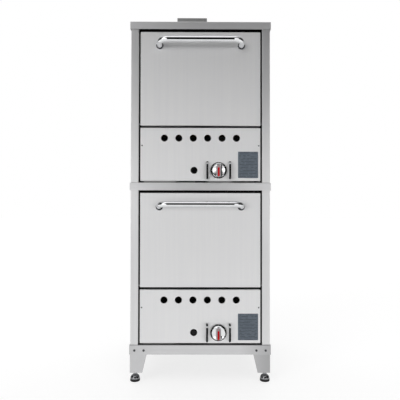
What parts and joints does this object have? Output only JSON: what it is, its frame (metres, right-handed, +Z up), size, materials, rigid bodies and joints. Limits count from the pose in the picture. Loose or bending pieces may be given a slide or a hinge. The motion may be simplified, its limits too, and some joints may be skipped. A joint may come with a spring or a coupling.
{
  "type": "double deck gas pizza oven",
  "caption": "Free-standing stacked gas pizza oven: drop-down doors with tube handles over control panels, stone baking decks inside, rear flue riser, low stand on levelling feet.",
  "frame": {"origin": "centre of the object's footprint, on the floor", "axes": "+Z up, front faces -Y, +X to the right seen from the front"},
  "size_m": [0.804, 0.9204, 2.341],
  "materials": {
    "stainless_casing": "satin",
    "stainless_flue": "satin",
    "aluminised_liner": "matte",
    "polished_chrome": "polished",
    "dial_chrome": "polished",
    "foot_metal": "satin",
    "hearth_stone": "matte",
    "mineral_wool": "matte",
    "cast_iron_burner": "matte",
    "black_pipe": "matte",
    "black_button": "gloss",
    "plate_slate": "satin",
    "brass_control": "satin",
    "spring_steel": "satin",
    "zinc_fastener": "satin"
  },
  "bodies": {
    "casing": {"data_plates": "plate_slate", "dial_guards": "polished_chrome", "flue_duct": "aluminised_liner", "flue_riser": "stainless_flue", "frame_bolts": "zinc_fastener", "front_left_leg": "stainless_casing", "front_right_leg": "stainless_casing", "gas_pipes": "black_pipe", "hearth_rails": "aluminised_liner", "heat_baffles": "aluminised_liner", "insulation_batts": "mineral_wool", "lower_base_pan": "stainless_casing", "lower_burner": "cast_iron_burner", "lower_control_panel": "stainless_casing", "lower_door_springs": "spring_steel", "lower_face_frame": "aluminised_liner", "lower_hearths": "hearth_stone", "lower_left_side_panel": "stainless_casing", "lower_oven_liner": "aluminised_liner", "lower_rear_panel": "stainless_casing", "lower_right_side_panel": "stainless_casing", "lower_top_cap": "stainless_casing", "panel_screws": "zinc_fastener", "rear_left_leg": "stainless_casing", "rear_right_leg": "stainless_casing", "safety_valves": "brass_control", "stand_frame": "stainless_casing", "thermostat_bodies": "brass_control", "upper_base_pan": "stainless_casing", "upper_burner": "cast_iron_burner", "upper_control_panel": "stainless_casing", "upper_door_springs": "spring_steel", "upper_face_frame": "aluminised_liner", "upper_hearths": "hearth_stone", "upper_left_side_panel": "stainless_casing", "upper_oven_liner": "aluminised_liner", "upper_rear_panel": "stainless_casing", "upper_right_side_panel": "stainless_casing", "upper_top_cap": "stainless_casing"},
    "lower_door": {"lower_door_skin": "stainless_casing", "lower_door_liner": "aluminised_liner", "lower_door_insulation": "mineral_wool", "lower_door_hinges": "zinc_fastener", "lower_handle": "polished_chrome", "lower_handle_flanges": "polished_chrome"},
    "lower_dial": {"lower_dial": "dial_chrome"},
    "lower_button": {"lower_valve_button": "black_button"},
    "upper_door": {"upper_door_skin": "stainless_casing", "upper_door_liner": "aluminised_liner", "upper_door_insulation": "mineral_wool", "upper_door_hinges": "zinc_fastener", "upper_handle": "polished_chrome", "upper_handle_flanges": "polished_chrome"},
    "upper_dial": {"upper_dial": "dial_chrome"},
    "upper_button": {"upper_valve_button": "black_button"},
    "front_left_foot": {"front_left_foot": "foot_metal"},
    "front_right_foot": {"front_right_foot": "foot_metal"},
    "rear_left_foot": {"rear_left_foot": "foot_metal"},
    "rear_right_foot": {"rear_right_foot": "foot_metal"}
  },
  "joints": [
    {"name": "lower_door_hinge", "type": "hinge", "parent": "casing", "child": "lower_door", "pos_m": [0, -0.36825, 0.541], "axis": [1, 0, 0], "range_deg": [0, 90], "stiffness_Nm_per_rad": 12, "springref_deg": -20.05, "deforming": ["lower_door_springs"]},
    {"name": "lower_dial_turn", "type": "hinge", "parent": "casing", "child": "lower_dial", "pos_m": [0.103, -0.37825, 0.2775], "axis": [0, -1, 0], "range_deg": [0, 300]},
    {"name": "lower_button_push", "type": "slide", "parent": "casing", "child": "lower_button", "axis": [0, 1, 0], "range_m": [0, 0.008], "stiffness_N_per_m": 800, "springref_m": -0.002},
    {"name": "upper_door_hinge", "type": "hinge", "parent": "casing", "child": "upper_door", "pos_m": [0, -0.36825, 1.455], "axis": [1, 0, 0], "range_deg": [0, 90], "stiffness_Nm_per_rad": 12, "springref_deg": -20.05, "deforming": ["upper_door_springs"]},
    {"name": "upper_dial_turn", "type": "hinge", "parent": "casing", "child": "upper_dial", "pos_m": [0.103, -0.37825, 1.1915], "axis": [0, -1, 0], "range_deg": [0, 300]},
    {"name": "upper_button_push", "type": "slide", "parent": "casing", "child": "upper_button", "axis": [0, 1, 0], "range_m": [0, 0.008], "stiffness_N_per_m": 800, "springref_m": -0.002},
    {"name": "front_left_levelling", "type": "slide", "parent": "casing", "child": "front_left_foot", "axis": [0, 0, 1], "range_m": [-0.025, 0.012]},
    {"name": "front_right_levelling", "type": "slide", "parent": "casing", "child": "front_right_foot", "axis": [0, 0, 1], "range_m": [-0.025, 0.012]},
    {"name": "rear_left_levelling", "type": "slide", "parent": "casing", "child": "rear_left_foot", "axis": [0, 0, 1], "range_m": [-0.025, 0.012]},
    {"name": "rear_right_levelling", "type": "slide", "parent": "casing", "child": "rear_right_foot", "axis": [0, 0, 1], "range_m": [-0.025, 0.012]}
  ]
}
